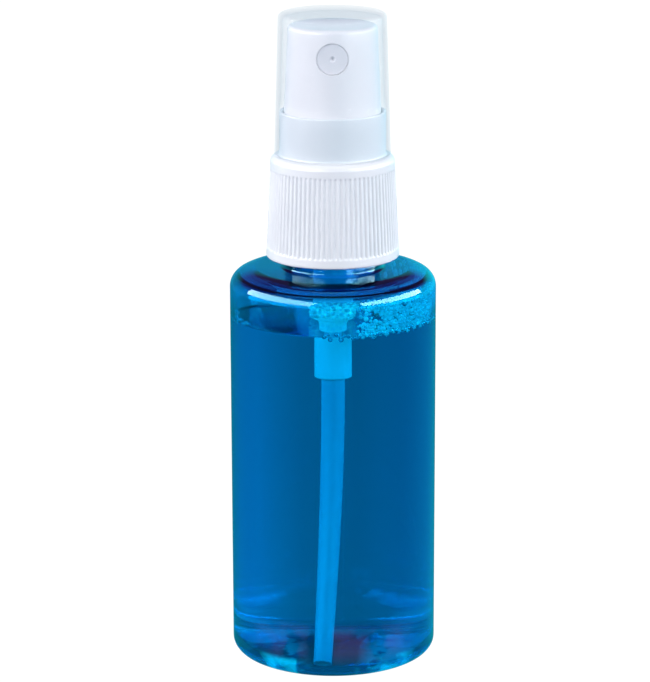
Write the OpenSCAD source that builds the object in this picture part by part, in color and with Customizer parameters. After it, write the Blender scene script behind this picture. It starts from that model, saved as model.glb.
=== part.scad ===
// Lens cleaning spray: a round clear bottle with a screw-on fine-mist pump.
// Millimetres, +Z up. The origin is the centre of the bottle's foot. The nozzle faces -Y.

/* [Bottle] */
// Outer radius of the bottle's body
body_r = 18.4; // [17.5:0.1:20]
// Height at which the straight body wall ends and the shoulder starts
shoulder_z = 68; // [66:0.5:70]
// Wall thickness of the body
wall = 0.8; // [0.6:0.1:1]
// Outer radius of the neck, below the thread
neck_r = 8.75; // [8.7:0.05:8.8]
// Height of the bottle's mouth
mouth_z = 86.8; // [86.4:0.1:87]
// Height of the dome pushed up into the foot
push_up = 2.2; // [1:0.1:3]
// Height of the liquid's surface
fill_z = 62.8; // [61:0.1:67]

/* [Thread] */
// Rise of the neck thread in one turn
pitch = 3.175; // [3:0.025:3.3]
// Outer radius of the neck thread
thread_r = 9.8; // [9.7:0.05:9.85]
// Turns of thread on the neck
neck_turns = 1.5; // [1:0.25:1.5]

/* [Closure] */
// Outer radius of the closure at its lower edge
closure_r = 11.85; // [11.6:0.05:12.2]
// Height of the closure's lower edge
closure_z = 73.6; // [73.2:0.1:74]
// Number of grip ribs round the closure
ribs = 80; // [60:2:100]
// Depth of the grooves between the grip ribs
rib_depth = 0.24; // [0.1:0.02:0.3]
// Outer radius of the collar that the overcap fits over
collar_r = 9.4; // [9.2:0.05:9.6]
// Height of the collar's upper edge
collar_top = 99.7; // [98:0.1:100]

/* [Overcap] */
// Outer radius of the overcap at its rim
overcap_r = 10.3; // [10.2:0.05:10.8]
// Outer radius of the overcap at its top
overcap_top_r = 9.55; // [9.5:0.05:9.8]
// Height of the overcap's top face
overcap_top = 117.05; // [117:0.05:119]

/* [Pump] */
// Outer radius of the dip tube
tube_r = 1.55; // [1.4:0.05:1.6]
// Radius of the curve that the dip tube follows
tube_bend = 88.5; // [88.5:0.5:120]
// Direction in which the dip tube leans, turned from -Y towards -X
tube_turn = 6; // [0:1:20]
// Inner radius of the pump barrel
barrel_r = 2.9; // [2.8:0.05:3]
// Full travel of the actuator
stroke = 5; // [3:0.5:5]
// Outer radius of the stem
stem_r = 1.7; // [1.6:0.05:1.72]
// Wire diameter of the return spring
wire_d = 0.5; // [0.4:0.05:0.6]
// Turns of the return spring
spring_turns = 8; // [6:0.5:10]

/* [Actuator] */
// Outer radius of the actuator's skirt
actuator_r = 8.53; // [8.2:0.02:8.55]
// Outer radius of the actuator at its top
actuator_top_r = 7.84; // [7.6:0.02:8]
// Height of the actuator's top
actuator_top = 114.9; // [114:0.1:115]
// Height of the nozzle's axis
nozzle_z = 110; // [109:0.1:110.4]
// Outer radius of the nozzle insert
nozzle_r = 2.8; // [2.4:0.1:2.8]
// Radius of the hole that the spray leaves by
orifice_r = 0.2; // [0.15:0.05:0.3]

/* [Hidden] */

// Facets of round parts, and steps in a rounded edge
round_fn = 96;
edge_steps = 5;
// Running clearance of turned fits, and the gap between faces that rest on each other
fit = 0.05;
rest_gap = 0.05;
// Room for the parts of one body that are pushed together
push_gap = 0.02;
// Small chamfer on moulded edges, facets of small holes, and overshoot of a cut
chamfer = 0.2;
small_fn = 24;
eps = 0.05;

// Bottle: heel, foot, shoulder arcs and neck bore
heel_r = 2.3;
foot_in = 13.6;
base_wall = 1;
floor_margin = 0.6;
shoulder_r1 = 3;
shoulder_turn1 = 63;
shoulder_r2 = 8;
shoulder_turn2 = 86.5;
neck_in_r = 6.85;
neck_fillet = 0.7;
neck_flare = 1.5;
mouth_edge = 0.3;
gate_r = 1.6;
gate_h = 0.35;

// Liquid: its gap to the bottle, and the room it leaves round the dip tube and the pump
liquid_skin = 0.03;
pump_room = 0.3;

// Thread flanks: widths at the root and at the crest
neck_root_w = 2;
neck_crest_w = 0.9;
cap_root_w = 1.6;
cap_crest_w = 0.7;
cap_thread_r = 9;
cap_turns = 1.25;
thread_top = mouth_z - 1.9;
thread_low = thread_top - pitch * neck_turns;
// The closure's thread pulls up against the underside of the neck's
thread_pull = 0.25;
cap_thread_angle = 160;
thread_steps = 48;
thread_bed = 0.3;
runout = 30;

// Closure heights and inner shape
closure_draft = 0.0515;
rib_low = 75.2;
rib_high = 89.7;
closure_edge_r = 1.2;
deck_z = 91.9;
closure_in_r = 10.05;
closure_in_top = 89.9;
collar_wall = 0.6;
collar_edge = 0.25;
pump_hole_r = 5.2;

// Overcap wall and its seat on the collar
overcap_wall = 0.85;
overcap_z = 92.1;
overcap_edge = 0.9;
overcap_roof = 0.9;
seat_gap = 0.06;

// Housing heights, from the dip tube's socket up to the snap bead over the closure's deck
socket_z = 52.3;
socket_r = 2.45;
socket_top = 60;
taper_low = 60.6;
taper_high = 62.2;
barrel_wall = 0.6;
inlet_r = 0.9;
seat_z = 61.4;
chamber_r = 1.6;
chamber_z = 62.3;
lip_r = 1.1;
lip_z = 63.6;
spring_z = 64.6;
barrel_top = 85.5;
guide_r = 5.9;
guide_z = 84;
flange_r = 8.3;
flange_z = 88;
flange_top = 89.8;
head_r = 5;
head_top = 93.6;
bead_r = 5.45;
bead_z = 92;
head_bore_r = 4;
vent_r = 0.4;
vent_z = 82.4;
bead_h = 0.4;
head_ramp = 0.8;
lip_flare = 0.3;
guide_cone = 1;

// Dip tube: the height of its lower end, its bore, and how far the socket squeezes it
tube_end_z = 2.3;
tube_bore_r = 0.95;
tube_squeeze = 0.2;

// Moving parts inside the barrel, with the stem up
ball_r = 1.2;
ball_z = 62.23;
spring_r = 2.2;
spring_top = 79;
spring_facets = 8;
spring_steps = 20;
valve_z = 79;
valve_flange_r = 2.4;
plug_r = 1.2;
plug_h = 2.5;
piston_z = 80;
piston_top = 84.8;
piston_lip_h = 0.6;
piston_waist = 0.5;
guide_nose_gap = 0.15;
guide_cap_h = 0.9;
stem_z = 80.9;
stem_top = 107.6;
stem_bore_r = 0.95;
port_r = 0.4;
port_z = 82.4;

// Actuator: its skirt and boss clear the closure and the guide over the whole stroke
skirt_z = deck_z + stroke + 0.3;
skirt_end = 100.1;
actuator_wall = 0.9;
actuator_edge = 0.7;
actuator_roof = 2.3;
dish_depth = 0.45;
dish_rim = 1.6;
boss_r = 3.2;
boss_z = head_top + guide_cap_h + stroke + 1.5;
feed_r = 0.6;
feed_up = 1.4;
recess_back = 4.6;
nozzle_face = 7.55;
post_r = 1.3;
post_face = 6.6;
cup_r = 1.6;
cup_front = 6.75;
ring_wall = 0.9;
ring_skin = 0.4;

// Points along an arc about a centre, from one angle to another
function arc(centre, r, from, to, steps = edge_steps) = [
    for (i = [0:steps])
        let (a = from + (to - from) * i / steps)
        centre + r * [cos(a), sin(a)]
];

function reversed(points) = [for (i = [len(points) - 1:-1:0]) points[i]];

// Radius of the drafted outer wall of the closure, the overcap and the actuator at a height
function closure_at(z) = closure_r - (z - closure_z) * closure_draft;
function overcap_at(z) =
    overcap_r - (z - overcap_z) / (overcap_top - overcap_z) * (overcap_r - overcap_top_r);
function actuator_at(z) =
    z < skirt_end ? actuator_r
    : actuator_r - (z - skirt_end) / (actuator_top - skirt_end) * (actuator_r - actuator_top_r);

// A solid turned about Z from half of its section
module lathe(points) {
    rotate_extrude($fn = round_fn) polygon(points);
}

// A straight round rod or hole between two heights
module rod(r, low, high) {
    translate([0, 0, low]) cylinder(r = r, h = high - low, $fn = round_fn);
}

// A thread ridge: a trapezium wound round Z, bedded in its wall, with its depth run out at both ends
module thread(root_r, crest_r, root_w, crest_w, start_z, start_angle, turns) {
    side = crest_r > root_r ? 1 : -1;
    bed = -thread_bed / abs(crest_r - root_r);
    count = ceil(turns * thread_steps);
    rings = [
        for (i = [0:count])
            let (
                swept = 360 * turns * i / count,
                angle = start_angle + swept,
                z = start_z + pitch * swept / 360,
                depth = max(0.07, min(1, swept / runout, (360 * turns - swept) / runout))
            )
            for (p = [[bed, -1], [depth, -1], [depth, 1], [bed, 1]])
                let (
                    r = root_r + (crest_r - root_r) * p[0],
                    w = root_w + (crest_w - root_w) * p[0]
                )
                [r * cos(angle), r * sin(angle), z + p[1] * w / 2]
    ];
    n = 4;
    quads = [
        for (i = [0:count - 1], j = [0:n - 1])
            let (a = i * n + j, b = i * n + (j + 1) % n)
            [a, b, b + n, a + n]
    ];
    ends = [
        [for (j = [n - 1:-1:0]) j],
        [for (j = [0:n - 1]) count * n + j]
    ];
    faces = concat(quads, ends);
    polyhedron(rings, side > 0 ? faces : [for (f = faces) [for (k = [len(f) - 1:-1:0]) f[k]]], 4);
}

// Outline of the bottle's outer or inner surface: inset is 0 outside and the wall inside
function shoulder(inset) =
    let (
        c1 = [body_r - shoulder_r1, shoulder_z],
        c2 = c1 + (shoulder_r1 - shoulder_r2) * [cos(shoulder_turn1), sin(shoulder_turn1)]
    )
    concat(
        arc(c1, shoulder_r1 - inset, 0, shoulder_turn1, 8),
        arc(c2, shoulder_r2 - inset, shoulder_turn1 + 4, shoulder_turn2, 5)
    );
shoulder_top = shoulder(0)[len(shoulder(0)) - 1][1];
dome_r = (foot_in * foot_in + push_up * push_up) / (2 * push_up);
dome_turn = asin(foot_in / dome_r);
// The inside floor is the dome raised by the thickness of the foot
floor_in = foot_in + floor_margin;
floor_up = base_wall + push_up;
floor_r = (floor_in * floor_in + push_up * push_up) / (2 * push_up);
floor_turn = asin(floor_in / floor_r);
function floor_line() = concat(
    arc([0, floor_up - floor_r], floor_r, 90, 90 - floor_turn, 8),
    arc([body_r - heel_r, base_wall + heel_r - wall], heel_r - wall, -90, 0, 6)
);

module bottle() {
    outside = concat(
        arc([0, push_up - dome_r], dome_r, 90, 90 - dome_turn, 8),
        arc([body_r - heel_r, heel_r], heel_r, -90, 0, 8),
        shoulder(0),
        [[neck_r + neck_fillet, shoulder_top], [neck_r, shoulder_top + neck_fillet]],
        [[neck_r, mouth_z - mouth_edge], [neck_r - mouth_edge, mouth_z]]
    );
    neck_inside = [
        [neck_in_r, mouth_z], [neck_in_r, shoulder_top + neck_fillet],
        [neck_in_r + neck_flare, shoulder_top - wall]
    ];
    shoulder_inside = [for (p = shoulder(wall)) if (p[0] > neck_in_r + neck_flare + wall) p];
    color([0.05, 0.35, 0.65, 0.45]) {
        difference() {
            lathe(concat(
                outside, neck_inside, reversed(shoulder_inside), reversed(floor_line())
            ));
            // The gate scar in the middle of the foot is a small round recess
            rod(gate_r, 0, push_up + gate_h);
        }
        thread(neck_r, thread_r, neck_root_w, neck_crest_w, thread_low, 0, neck_turns);
    }
}

// How far the dip tube has leaned out at a height below its socket
function lean(z) = tube_bend - sqrt(tube_bend * tube_bend - pow(socket_z - z, 2));

// The liquid fills the bottle up to its surface, and leaves a slot for the dip tube and the pump,
// long enough for the tube to rise by the thread's lift
module cleaning_fluid() {
    lift = pitch * neck_turns;
    wall_in = body_r - wall - liquid_skin;
    tube_slope = asin((socket_z - tube_end_z) / tube_bend);
    reach = tube_r / cos(tube_slope) + pump_room;
    slot_low = tube_end_z - tube_r;
    levels = [for (i = [0:16]) slot_low + (socket_z - slot_low) * i / 16];
    inner_side = [for (z = levels) [lean(z) - reach, z]];
    outer_side = [for (z = levels) [lean(max(z - lift, tube_end_z)) + reach, z]];
    slot = concat(inner_side, [[-reach, fill_z + 1], [reach, fill_z + 1]], reversed(outer_side));
    slot_side = tube_r + pump_room;
    color([0, 0.45, 0.75, 0.5])
    difference() {
        lathe(concat(
            [for (p = floor_line()) p + liquid_skin * [p[0] > floor_in + eps ? -1 : 0, 1]],
            [[wall_in, fill_z], [0, fill_z]]
        ));
        rotate([0, 0, -tube_turn]) rotate([90, 0, -90]) translate([0, 0, -slot_side])
            linear_extrude(2 * slot_side) polygon(slot);
        rod(socket_r + pump_room, socket_z - 1, fill_z + 1);
        rod(barrel_r + barrel_wall + pump_room, taper_low - 2 * pump_room, fill_z + 1);
    }
}

// Straight and a little squeezed in its socket, then one even curve to the front of the foot
module dip_tube() {
    start_z = socket_z - push_gap;
    bend_angle = asin((start_z - tube_end_z) / tube_bend);
    color("whitesmoke")
    rotate([0, 0, -tube_turn]) {
        difference() {
            rod(tube_r - push_gap, start_z - tube_squeeze, socket_top - rest_gap);
            rod(tube_bore_r - tube_squeeze, 0, mouth_z);
        }
        translate([0, -tube_bend, start_z]) rotate([90, 0, 90])
            rotate([0, 0, -bend_angle])
            rotate_extrude(angle = bend_angle, $fn = 3 * round_fn)
            translate([tube_bend, 0])
            difference() {
                circle(tube_r, $fn = round_fn);
                circle(tube_bore_r, $fn = round_fn);
            }
    }
}

module pump_housing() {
    outer_r = barrel_r + barrel_wall;
    color("ghostwhite")
    difference() {
        lathe([
            [tube_r, socket_z], [socket_r - chamfer, socket_z], [socket_r, socket_z + chamfer],
            [socket_r, taper_low], [outer_r, taper_high], [outer_r, guide_z - guide_cone],
            [guide_r - 2 * chamfer, guide_z - 2 * chamfer], [guide_r, guide_z],
            [guide_r, flange_z], [flange_r, flange_z], [flange_r, flange_top],
            [head_r, flange_top], [head_r, bead_z], [bead_r, bead_z + chamfer / 2],
            [bead_r, bead_z + bead_h], [head_r, head_top - head_ramp], [head_r, head_top],
            [head_bore_r, head_top], [head_bore_r, barrel_top], [barrel_r, barrel_top],
            [barrel_r, spring_z], [lip_r + lip_flare, spring_z],
            [lip_r, lip_z + lip_flare], [lip_r, lip_z], [chamber_r, lip_z],
            [chamber_r, chamber_z], [inlet_r, seat_z], [inlet_r, socket_top],
            [tube_r, socket_top]
        ]);
        // Vent that lets air back into the bottle while the pump is pressed
        translate([0, 0, vent_z]) rotate([90, 0, 0])
            cylinder(r = vent_r, h = guide_r, $fn = small_fn);
    }
}

module inlet_ball() {
    color("silver") translate([0, 0, ball_z]) sphere(ball_r, $fn = round_fn);
}

// A round wire wound between the barrel's ledge and the valve stem's flange
module return_spring() {
    low = spring_z + wire_d / 2 + rest_gap;
    high = spring_top - wire_d / 2 - rest_gap;
    count = spring_turns * spring_steps;
    // The first and the last turn lie flat, so the rise is spread over the others
    dead = 0.9;
    coil = 1.06 * wire_d;
    flat = dead * coil;
    rings = [
        for (i = [0:count])
            let (
                t = spring_turns * i / count,
                a = 360 * t,
                u = max(0, min(1, (t - dead) / (spring_turns - 2 * dead))),
                z = low + min(t, dead) * coil + (high - low - 2 * flat) * u
                    + max(0, t - spring_turns + dead) * coil
            )
            for (j = [0:spring_facets - 1])
                let (b = 360 * j / spring_facets, r = spring_r + wire_d / 2 * cos(b))
                [r * cos(a), r * sin(a), z + wire_d / 2 * sin(b)]
    ];
    sides = [
        for (i = [0:count - 1], j = [0:spring_facets - 1])
            let (a = i * spring_facets + j, b = i * spring_facets + (j + 1) % spring_facets)
            [a, b, b + spring_facets, a + spring_facets]
    ];
    ends = [
        [for (j = [spring_facets - 1:-1:0]) j],
        [for (j = [0:spring_facets - 1]) count * spring_facets + j]
    ];
    color("silver") polyhedron(rings, concat(sides, ends), 4);
}

// The flange under the piston closes the outlet while the pump is at rest
module valve_stem() {
    color("ghostwhite")
    lathe([
        [0, valve_z - plug_h], [plug_r - 2 * chamfer, valve_z - plug_h],
        [plug_r, valve_z - plug_h + 2 * chamfer], [plug_r, valve_z],
        [valve_flange_r, valve_z], [valve_flange_r, piston_z - chamfer - 2 * rest_gap],
        [stem_r + chamfer + 2 * rest_gap, piston_z - 2 * rest_gap], [stem_r, stem_z - push_gap],
        [stem_bore_r - push_gap, stem_z - push_gap], [stem_bore_r - push_gap, port_z - port_r],
        [0, port_z - port_r]
    ]);
}

module piston() {
    lip = barrel_r - push_gap;
    seal_z = port_z + port_r + chamfer;
    waist_r = lip - piston_waist;
    color("whitesmoke")
    lathe([
        [stem_r + 2 * chamfer, piston_z], [lip - chamfer, piston_z], [lip, piston_z + chamfer],
        [lip, piston_z + piston_lip_h], [waist_r, piston_z + 2 * piston_lip_h],
        [waist_r, piston_top - 2 * piston_lip_h], [lip, piston_top - piston_lip_h],
        [lip, piston_top - chamfer], [lip - chamfer, piston_top],
        [stem_r + fit, piston_top], [stem_r + fit, seal_z],
        [stem_r + 2 * chamfer, seal_z - 2 * chamfer]
    ]);
}

module stem() {
    color("ghostwhite")
    difference() {
        rod(stem_r, stem_z, stem_top);
        rod(stem_bore_r, stem_z - eps, stem_top + eps);
        // Cross port that opens when the piston lifts off the valve stem
        translate([0, 0, port_z]) rotate([90, 0, 0])
            cylinder(r = port_r, h = 3 * stem_r, center = true, $fn = small_fn);
    }
}

// Snap-in guide that holds the piston down and carries the stem
module stem_guide() {
    nose_r = barrel_r - guide_nose_gap;
    nose_z = piston_top + 2 * rest_gap;
    sleeve_r = head_bore_r - push_gap;
    cap_r = head_r - chamfer / 2;
    cap_z = head_top + push_gap;
    cap_top = head_top + guide_cap_h;
    color("ghostwhite")
    lathe([
        [stem_r + fit, nose_z], [nose_r, nose_z], [nose_r, barrel_top + push_gap],
        [sleeve_r, barrel_top + push_gap], [sleeve_r, cap_z], [cap_r, cap_z],
        [cap_r, cap_top - 2 * chamfer], [cap_r - 2 * chamfer, cap_top],
        [stem_r + fit + 2 * chamfer, cap_top], [stem_r + fit, cap_top - 2 * chamfer]
    ]);
}

module neck_gasket() {
    gasket_r = neck_r - chamfer / 2;
    color("gainsboro")
    lathe([
        [guide_r + push_gap, mouth_z + rest_gap], [gasket_r, mouth_z + rest_gap],
        [gasket_r, flange_z - push_gap], [guide_r + push_gap, flange_z - push_gap]
    ]);
}

// Crests and grooves of the grip at its lower end, drawn in towards the top
module grip() {
    low_r = closure_at(rib_low) - 0.02;
    high_r = closure_at(rib_high) - 0.02;
    step = 360 / ribs;
    // One groove of the outline: parts of a step from its middle, and how far in
    groove = [[-0.3, 0], [-0.12, -rib_depth], [0.12, -rib_depth], [0.3, 0]];
    outline = [
        for (i = [0:ribs - 1], p = groove)
            let (a = step * (i + p[0]), r = low_r + p[1])
            [r * cos(a), r * sin(a)]
    ];
    translate([0, 0, rib_low - eps])
        linear_extrude(rib_high - rib_low + 2 * eps, scale = high_r / low_r) polygon(outline);
}

module closure() {
    waist = rib_depth + 0.1;
    base_r = closure_at(closure_z);
    band_r = closure_at(rib_low);
    top_r = closure_at(rib_high);
    collar_in = collar_r - collar_wall;
    neck_room = neck_r + 0.25;
    color("white") {
        difference() {
            union() {
                lathe(concat(
                    [[0, closure_z], [base_r - chamfer, closure_z], [base_r, closure_z + chamfer]],
                    [[band_r, rib_low], [band_r - waist, rib_low], [top_r - waist, rib_high]],
                    [[top_r, rib_high]],
                    arc([top_r - closure_edge_r - eps, deck_z - closure_edge_r],
                        closure_edge_r, 0, 90, 8),
                    [[collar_r + chamfer, deck_z], [collar_r, deck_z + chamfer]],
                    [[collar_r, collar_top - collar_edge], [collar_r - collar_edge, collar_top]],
                    [[collar_in, collar_top], [collar_in, deck_z], [0, deck_z]]
                ));
                grip();
            }
            lathe([
                [0, closure_z - eps], [closure_in_r + 2 * chamfer, closure_z - eps],
                [closure_in_r, closure_z + 2 * chamfer], [closure_in_r, mouth_z - 1],
                [neck_room, mouth_z], [neck_room, closure_in_top], [0, closure_in_top]
            ]);
            rod(pump_hole_r, closure_in_top - eps, deck_z + eps);
        }
        thread(closure_in_r, cap_thread_r, cap_root_w, cap_crest_w,
               thread_low - pitch / 2 + thread_pull + pitch * cap_thread_angle / 360,
               cap_thread_angle, cap_turns);
    }
}

// A drafted shell with a socket for the stem and a drilled way out to the nozzle
module actuator() {
    roof_z = actuator_top - actuator_roof;
    dish_r = (pow(actuator_top_r - dish_rim, 2) + dish_depth * dish_depth) / (2 * dish_depth);
    ring_z = nozzle_z - nozzle_r - 2 * ring_wall;
    top_r = actuator_at(actuator_top - actuator_edge);
    color("white")
    difference() {
        union() {
            difference() {
                lathe(concat(
                    [[0, skirt_z], [actuator_r - chamfer, skirt_z]],
                    [[actuator_r, skirt_z + chamfer]],
                    [[actuator_r, skirt_end]],
                    arc([top_r - actuator_edge, actuator_top - actuator_edge], actuator_edge, 0, 90),
                    [[0, actuator_top]]
                ));
                lathe([
                    [0, skirt_z - eps], [actuator_r - actuator_wall, skirt_z - eps],
                    [actuator_r - actuator_wall, skirt_end],
                    [actuator_at(roof_z) - actuator_wall, roof_z], [0, roof_z]
                ]);
                // Shallow dish for the fingertip
                translate([0, 0, actuator_top - dish_depth + dish_r])
                    sphere(dish_r, $fn = round_fn);
            }
            rod(boss_r, boss_z, roof_z + eps);
            intersection() {
                translate([0, 0, nozzle_z]) rotate([90, 0, 0])
                    cylinder(r = nozzle_r + ring_wall, h = actuator_r, $fn = round_fn);
                lathe([
                    [0, ring_z], [actuator_at(ring_z) - ring_skin, ring_z],
                    [actuator_at(roof_z) - ring_skin, roof_z + eps], [0, roof_z + eps]
                ]);
            }
        }
        rod(stem_r + fit / 2, boss_z - eps, stem_top + rest_gap);
        rod(feed_r, stem_top, nozzle_z + feed_up + feed_r);
        translate([0, 0, nozzle_z + feed_up]) rotate([90, 0, 0])
            cylinder(r = feed_r - chamfer, h = recess_back + eps, $fn = small_fn);
        // Recess for the nozzle insert, round the post that its cup sits over
        translate([0, -recess_back, nozzle_z]) rotate([90, 0, 0])
            difference() {
                cylinder(r = nozzle_r + push_gap, h = actuator_r, $fn = round_fn);
                translate([0, 0, -eps])
                    cylinder(r = post_r, h = post_face - recess_back + eps, $fn = round_fn);
            }
    }
}

module nozzle_insert() {
    back = recess_back + 2 * rest_gap;
    funnel = 0.35;
    color([0.9, 0.9, 0.93])
    rotate([90, 0, 0]) translate([0, nozzle_z, 0])
    lathe([
        [cup_r, back], [nozzle_r, back], [nozzle_r, nozzle_face - chamfer],
        [nozzle_r - chamfer, nozzle_face], [orifice_r + funnel, nozzle_face],
        [orifice_r, nozzle_face - funnel], [orifice_r, cup_front], [cup_r, cup_front]
    ]);
}

module overcap() {
    seat_r = collar_r + seat_gap;
    seat_top = collar_top + 0.6;
    top_r = overcap_at(overcap_top - overcap_edge);
    roof_z = overcap_top - overcap_roof;
    in_edge = 0.5;
    in_top_r = overcap_at(roof_z) - overcap_wall;
    color([0.8, 0.88, 0.95, 0.35])
    lathe(concat(
        [[seat_r + chamfer, overcap_z], [overcap_r - chamfer, overcap_z]],
        [[overcap_r, overcap_z + chamfer]],
        arc([top_r - overcap_edge, overcap_top - overcap_edge], overcap_edge, 0, 90, 8),
        [[0, overcap_top], [0, roof_z]],
        arc([in_top_r - in_edge, roof_z - in_edge], in_edge, 90, 0),
        [[overcap_at(seat_top + 1) - overcap_wall, seat_top + 1], [seat_r, seat_top]],
        [[seat_r, overcap_z + chamfer]]
    ));
}

bottle();
cleaning_fluid();
dip_tube();
pump_housing();
inlet_ball();
return_spring();
valve_stem();
piston();
stem();
stem_guide();
neck_gasket();
closure();
actuator();
nozzle_insert();
overcap();
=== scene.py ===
import math
import random

import bmesh
import bpy
from mathutils import Matrix, Vector


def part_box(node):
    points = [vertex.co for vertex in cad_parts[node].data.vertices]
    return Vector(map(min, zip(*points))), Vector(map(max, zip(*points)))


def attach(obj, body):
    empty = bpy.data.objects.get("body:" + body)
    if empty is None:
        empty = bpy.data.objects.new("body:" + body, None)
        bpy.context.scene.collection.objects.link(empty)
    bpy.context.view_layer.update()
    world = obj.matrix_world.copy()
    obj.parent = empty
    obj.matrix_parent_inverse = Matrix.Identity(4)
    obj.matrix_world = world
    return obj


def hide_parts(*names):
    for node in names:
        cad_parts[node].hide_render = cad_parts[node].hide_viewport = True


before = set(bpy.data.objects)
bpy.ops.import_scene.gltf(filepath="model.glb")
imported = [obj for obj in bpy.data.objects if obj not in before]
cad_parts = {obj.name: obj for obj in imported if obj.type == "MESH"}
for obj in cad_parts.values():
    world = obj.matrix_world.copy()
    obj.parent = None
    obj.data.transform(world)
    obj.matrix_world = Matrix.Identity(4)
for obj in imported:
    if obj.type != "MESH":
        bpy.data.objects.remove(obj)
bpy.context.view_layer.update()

# Sizes are in millimetres and heights are above the surface the bottle stands on; MM turns them
# into metres. Radii and heights that the frame holds are read from it.
MM = 0.001


def top_of(node):
    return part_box(node)[1].z / MM


def bottom_of(node):
    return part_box(node)[0].z / MM


def radius_of(node):
    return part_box(node)[1].x / MM


BODY_R = radius_of("bottle")
MOUTH_Z = top_of("bottle")
FILL_Z = top_of("cleaning_fluid")
CLOSURE_Z = bottom_of("closure")
COLLAR_TOP = top_of("closure")
OVERCAP_Z = bottom_of("overcap")
OVERCAP_TOP = top_of("overcap")
OVERCAP_R = radius_of("overcap")
SOCKET_Z = bottom_of("pump_housing")

# Bottle section. The shoulder is a small arc and then a wide one, each with its radius and the
# angle in degrees at which it ends; its wall grows towards the neck. A gate step has its rise and
# the two radii between which it falls.
WALL, SHOULDER_WALL = 0.8, 1.4
HEEL_R = 2.3
FOOT_IN = 13.6
PUSH_UP = 2.2
BASE_WALL = 1.0
GATE_STEPS = ((0.22, 3.2, 3.6), (0.18, 6.6, 7.0))
SHOULDER_Z = 68.0
SHOULDER_R1, SHOULDER_TURN1 = 3.0, 63.0
SHOULDER_R2, SHOULDER_TURN2 = 8.0, 86.5
NECK_R, NECK_IN_R = 8.75, 6.85
NECK_FILLET, NECK_IN_FILLET = 0.7, 1.5
MOUTH_EDGE, MOUTH_BEVEL = 0.3, 0.2
PITCH, THREAD_DEPTH, THREAD_TURNS = 3.175, 1.05, 1.5
THREAD_CREST, THREAD_FOOT, THREAD_DROP, THREAD_TAPER = 0.4, 0.95, 1.9, 0.5

# Closure section; its draft is radius lost per height
CLOSURE_R, CLOSURE_DRAFT = 11.85, 0.0515
RIB_LOW, RIB_HIGH, RIBS, RIB_DEPTH = 75.2, 89.7, 80, 0.24
DECK_Z, COLLAR_R, COLLAR_WALL = 91.9, 9.4, 0.6
CLOSURE_IN_R, CLOSURE_IN_TOP, PUMP_HOLE_R = 10.05, 89.9, 5.2
CLOSURE_EDGE, DECK_EDGE, COLLAR_FILLET, COLLAR_EDGE = 0.3, 1.25, 0.35, 0.25

# Overcap section
OVERCAP_TOP_R, OVERCAP_WALL, OVERCAP_ROOF = 9.55, 0.85, 0.9
OVERCAP_EDGE, OVERCAP_IN_EDGE, OVERCAP_RIM = 0.9, 0.5, 0.15
SEAT_R = COLLAR_R + 0.06
SEAT_OVER = 0.6

# Dip tube: radius, bore, radius of its bend, degrees its foot is turned aside, and lowest height
TUBE_R, TUBE_BORE, TUBE_BEND, TUBE_TURN, TUBE_END = 1.55, 0.95, 88.5, 7.0, 2.3
TUBE_STEPS, TUBE_SIDES = 60, 48

# Liquid: how far it goes into the wall, so that no film of air shows between them, how much its
# surface climbs at the wall and round the pump, and how far the level is under the CAD's
LIQUID_IN_WALL = 0.06
MENISCUS, MENISCUS_REACH = 0.4, 0.6
PUMP_MENISCUS, PUMP_REACH, BARREL_R = 0.4, 0.7, 3.5
SINK = 0.1

# Foam: where each patch lies, in degrees from the front towards +X, and its bubbles' radii. Of the
# froth, a share hangs on the wall, a share under the shoulder, and the rest floats.
FROTH_TURNS, FROTH_R = (14, 148), (0.2, 0.5)
FROTH_ON_WALL, FROTH_UNDER_SHOULDER = 0.45, 0.8
LINE_TURNS, LINE_R = (-6, 92), (0.25, 0.55)
LEFT_TURNS, LEFT_R = (-95, -58), (0.2, 0.36)
COLLAR_FROTH_R, COLLAR_FROTH_TOP, COLLAR_BULGE = (0.28, 0.55), 68.2, 0.55

# Points round a lathed piece
AROUND = 192


# ---------------------------------------------------------------- meshes

def arc(cx, cz, r, start, end, steps):
    """Points along an arc of a section, from one angle to another, in degrees."""
    points = []
    for i in range(steps + 1):
        a = math.radians(start + (end - start) * i / steps)
        points.append((cx + r * math.cos(a), cz + r * math.sin(a)))
    return points


def line(start, end, step):
    """Points along a straight stretch of a section, without its first point."""
    count = max(1, round(math.dist(start, end) / step))
    return [
        (start[0] + (end[0] - start[0]) * i / count, start[1] + (end[1] - start[1]) * i / count)
        for i in range(1, count + 1)
    ]


def add_object(name, mesh, material, smooth=True):
    """Puts a mesh in the scene with its material."""
    obj = bpy.data.objects.new(name, mesh)
    bpy.context.scene.collection.objects.link(obj)
    mesh.materials.append(material)
    mesh.polygons.foreach_set("use_smooth", [smooth] * len(mesh.polygons))
    return obj


def make(name, verts, faces, material, smooth=True):
    """A new mesh object from vertices in metres."""
    mesh = bpy.data.meshes.new(name)
    mesh.from_pydata(verts, [], faces)
    mesh.validate()
    return add_object(name, mesh, material, smooth)


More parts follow.
